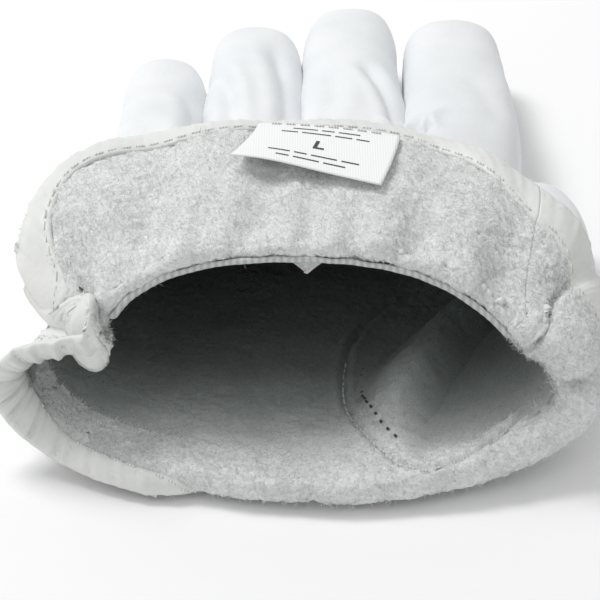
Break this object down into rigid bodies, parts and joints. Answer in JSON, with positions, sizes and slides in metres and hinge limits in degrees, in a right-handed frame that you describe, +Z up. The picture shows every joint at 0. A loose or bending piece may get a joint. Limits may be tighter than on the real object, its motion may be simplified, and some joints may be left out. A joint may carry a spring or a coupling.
{
  "type": "welding glove",
  "caption": "Left-hand welding glove in white goat leather, palm down, cuff turned back to show the suede; fingers bend, thumb swings, label lifts.",
  "frame": {"origin": "on the table under the middle of the glove's footprint", "axes": "+Z up from the palm to the back of the hand, +Y from the cuff's mouth towards the fingertips, +X towards the thumb"},
  "size_m": [0.1366, 0.2278, 0.0548],
  "materials": {
    "grain_leather": "full-grain goat leather, matt white with a faint pebble",
    "suede": "flesh side of the goat leather, pale grey and fuzzy",
    "binding_leather": "thin smooth leather strip, slightly glossy",
    "webbing": "knitted elastic tape, matt light grey",
    "thread": "twisted polyester sewing thread",
    "label_satin": "woven satin label, white, with grey print"
  },
  "bodies": {
    "hand": {"back_panel": "grain_leather", "palm_panel": "grain_leather", "cuff_back": "suede", "cuff_palm": "suede", "hem_binding_back": "binding_leather", "hem_binding_palm": "binding_leather", "hem_stitches": "thread", "elastic_band": "webbing", "elastic_stitches": "thread", "corner_tab": "suede", "thumb_gusset": "grain_leather", "thumb_seam_stitches": "thread"},
    "index_finger": {"index_back": "grain_leather", "index_front": "grain_leather", "index_side_strip_b": "grain_leather"},
    "middle_finger": {"middle_back": "grain_leather", "middle_front": "grain_leather", "middle_side_strip_a": "grain_leather", "middle_side_strip_b": "grain_leather"},
    "ring_finger": {"ring_back": "grain_leather", "ring_front": "grain_leather", "ring_side_strip_a": "grain_leather", "ring_side_strip_b": "grain_leather"},
    "little_finger": {"little_back": "grain_leather", "little_front": "grain_leather", "little_side_strip_a": "grain_leather"},
    "thumb": {"thumb_front": "grain_leather", "thumb_back": "grain_leather"},
    "label": {"label": "label_satin", "label_stitches": "thread"}
  },
  "joints": [
    {"name": "little_knuckle", "type": "hinge", "parent": "hand", "child": "little_finger", "pos_m": [-0.04144, 0.0096, 0.0134], "axis": [-1, 0, 0], "range_deg": [-15, 60]},
    {"name": "ring_knuckle", "type": "hinge", "parent": "hand", "child": "ring_finger", "pos_m": [-0.01704, 0.0156, 0.0134], "axis": [-1, 0, 0], "range_deg": [-15, 60]},
    {"name": "middle_knuckle", "type": "hinge", "parent": "hand", "child": "middle_finger", "pos_m": [0.00856, 0.0176, 0.0134], "axis": [-1, 0, 0], "range_deg": [-15, 60]},
    {"name": "index_knuckle", "type": "hinge", "parent": "hand", "child": "index_finger", "pos_m": [0.03656, 0.0156, 0.0134], "axis": [-1, 0, 0], "range_deg": [-15, 60]},
    {"name": "thumb_swing", "type": "hinge", "parent": "hand", "child": "thumb", "pos_m": [0.04206, -0.0244, 0.0125], "axis": [0, 0, -1], "range_deg": [0, 35]},
    {"name": "label_lift", "type": "hinge", "parent": "hand", "child": "label", "pos_m": [-0.00576, -0.03428, 0.05465], "axis": [-1, 0, 0], "range_deg": [0, 110]}
  ]
}
